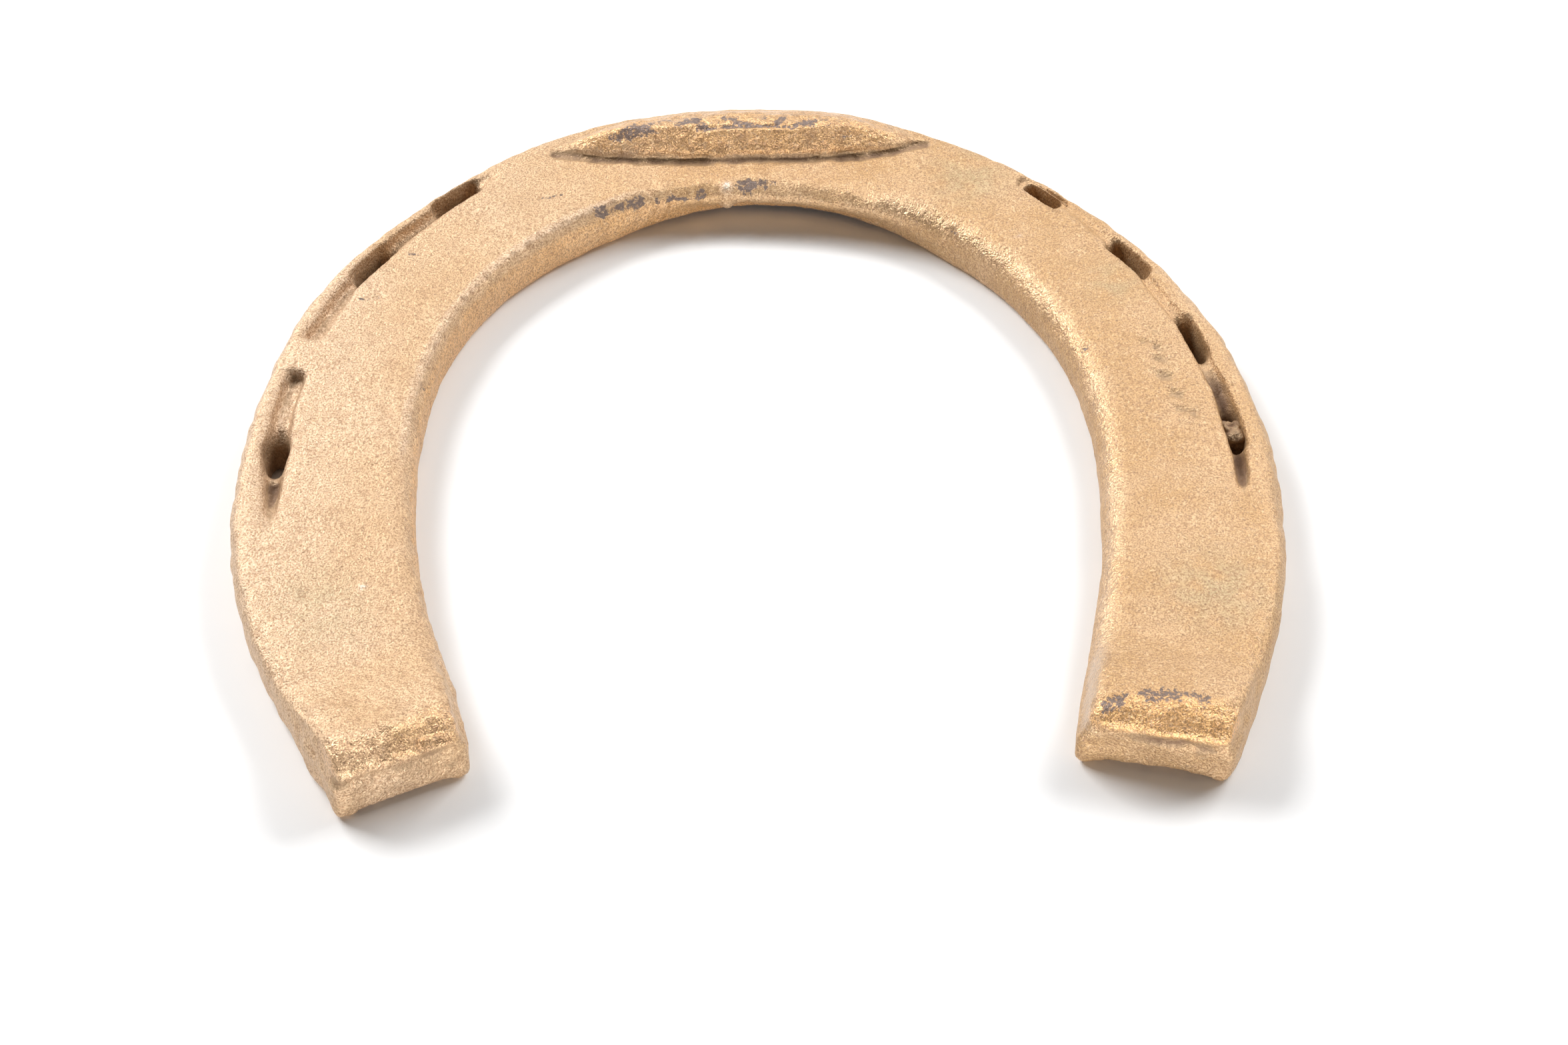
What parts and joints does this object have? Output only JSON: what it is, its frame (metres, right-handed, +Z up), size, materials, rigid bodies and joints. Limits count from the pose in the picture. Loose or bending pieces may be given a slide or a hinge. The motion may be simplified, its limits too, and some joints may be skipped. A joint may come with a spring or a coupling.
{
  "type": "horseshoe",
  "caption": "Forged horseshoe with grooved branches, nail holes, a welded toe calk, raised heel calks and broken nails left in two holes.",
  "frame": {"origin": "under the centre of the shoe, on the plane of its hoof side", "axes": "+Z up through the ground side, +Y towards the toe, +X towards the right branch as seen from above with the toe ahead"},
  "size_m": [0.136, 0.1288, 0.0106],
  "materials": {
    "gold_paint": "grainy metallic gold paint over worn forged steel",
    "gold_paint_toe": "the same paint, darker and chipped along the crest",
    "gold_paint_heels": "the same paint, shinier and chipped along the crest",
    "nail_gold_paint": "dull lumpy paint over snapped nails"
  },
  "bodies": {
    "root": {"shoe_bar": "gold_paint", "toe_calk": "gold_paint_toe", "left_heel_calk": "gold_paint_heels", "right_heel_calk": "gold_paint_heels", "left_nail": "nail_gold_paint", "right_nail": "nail_gold_paint"}
  },
  "joints": []
}
